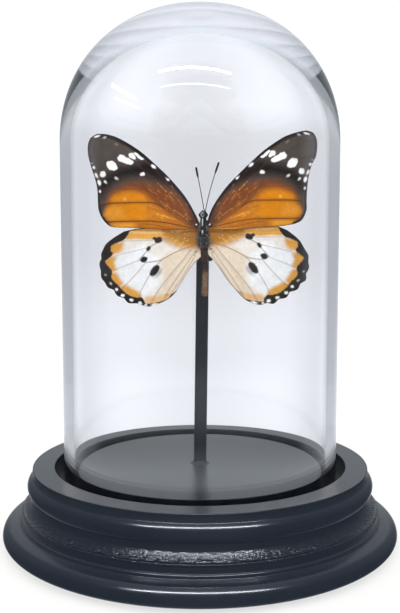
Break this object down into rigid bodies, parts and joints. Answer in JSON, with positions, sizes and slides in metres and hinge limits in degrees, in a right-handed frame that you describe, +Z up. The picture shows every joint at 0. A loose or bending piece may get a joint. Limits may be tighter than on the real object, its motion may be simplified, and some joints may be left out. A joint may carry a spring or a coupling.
{
  "type": "butterfly in a glass dome",
  "caption": "Dried butterfly with spread wings, fixed to a slim upright bar under a clear glass dome on a turned black wooden base.",
  "frame": {"origin": "centre of the base's underside", "axes": "+Z up along the dome's axis, -Y towards the side that the butterfly's upper side faces, +X to the right seen from there"},
  "size_m": [0.11, 0.11, 0.1461],
  "materials": {
    "black_wood": "satin black paint over turned wood, slightly orange-peeled",
    "clear_glass": "clear polished glass",
    "orange_wing": "matt wing scales, orange and brown with a black tip and white spots",
    "pale_wing": "matt wing scales, white with an orange border inside a black edge",
    "insect_body": "fine dark hairs and scales with white specks"
  },
  "bodies": {
    "root": {"base": "black_wood", "glass_dome": "clear_glass", "post": "black_wood", "mount_block": "black_wood", "butterfly_body": "insect_body", "antenna_left": "insect_body", "antenna_right": "insect_body", "forewing_left": "orange_wing", "forewing_right": "orange_wing", "hindwing_left": "pale_wing", "hindwing_right": "pale_wing"}
  },
  "joints": []
}
